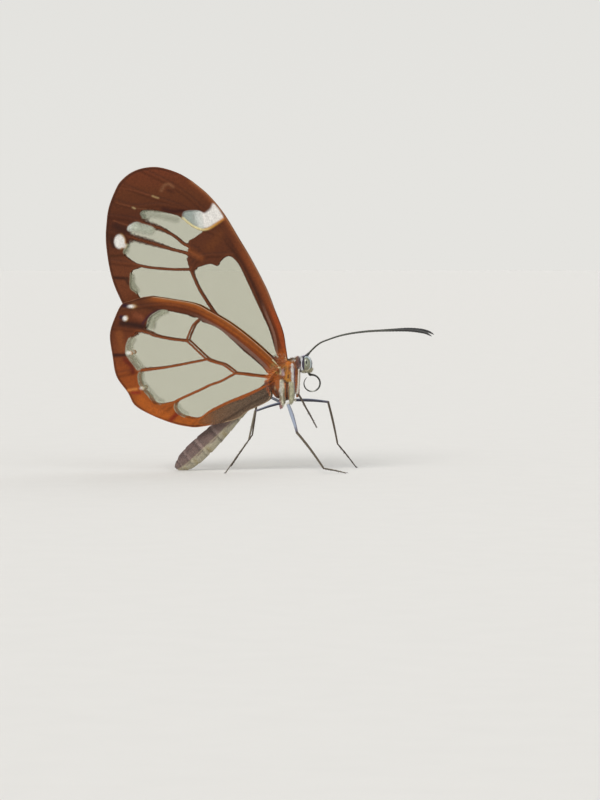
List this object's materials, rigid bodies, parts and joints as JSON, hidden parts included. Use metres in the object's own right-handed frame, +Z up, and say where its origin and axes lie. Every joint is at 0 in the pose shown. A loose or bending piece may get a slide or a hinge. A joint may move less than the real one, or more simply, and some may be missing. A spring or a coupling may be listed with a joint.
{
  "type": "glasswing butterfly",
  "caption": "A life-size glasswing butterfly at rest with closed clear wings, brown borders, long feelers and a coiled tongue, standing on its legs and abdomen tip",
  "frame": {"origin": "middle of the bounding box in X and Y, on the plane of the feet at its bottom", "axes": "+X towards the head, +Y to the butterfly's left, +Z up"},
  "size_m": [0.0402, 0.014, 0.0374],
  "materials": {
    "wing_membrane": "clear membrane with brown scaled borders",
    "thorax_fur": "orange fur with cream stripes",
    "head_fur": "dark fur with white lines",
    "abdomen_scales": "brown grey scales, cream below",
    "eye": "glossy facetted eye",
    "antenna_horn": "dark horn",
    "leg_pale": "blue grey scales",
    "leg_dark": "olive brown horn"
  },
  "bodies": {
    "root": {"thorax": "thorax_fur", "head": "head_fur", "abdomen": "abdomen_scales", "proboscis_1": "antenna_horn", "proboscis_2": "antenna_horn", "proboscis_3": "antenna_horn", "eye_right": "eye", "antenna_right": "antenna_horn", "forewing_right": "wing_membrane", "hindwing_right": "wing_membrane", "foreleg_femur_right": "leg_pale", "foreleg_tibia_right": "leg_dark", "midleg_femur_right": "leg_pale", "midleg_tibia_right": "leg_dark", "midleg_tarsus_right": "leg_dark", "hindleg_femur_right": "leg_pale", "hindleg_tibia_right": "leg_dark", "hindleg_tarsus_right": "leg_dark", "eye_left": "eye", "antenna_left": "antenna_horn", "forewing_left": "wing_membrane", "hindwing_left": "wing_membrane", "foreleg_femur_left": "leg_pale", "foreleg_tibia_left": "leg_dark", "midleg_femur_left": "leg_pale", "midleg_tibia_left": "leg_dark", "midleg_tarsus_left": "leg_dark", "hindleg_femur_left": "leg_pale", "hindleg_tibia_left": "leg_dark", "hindleg_tarsus_left": "leg_dark"}
  },
  "joints": []
}
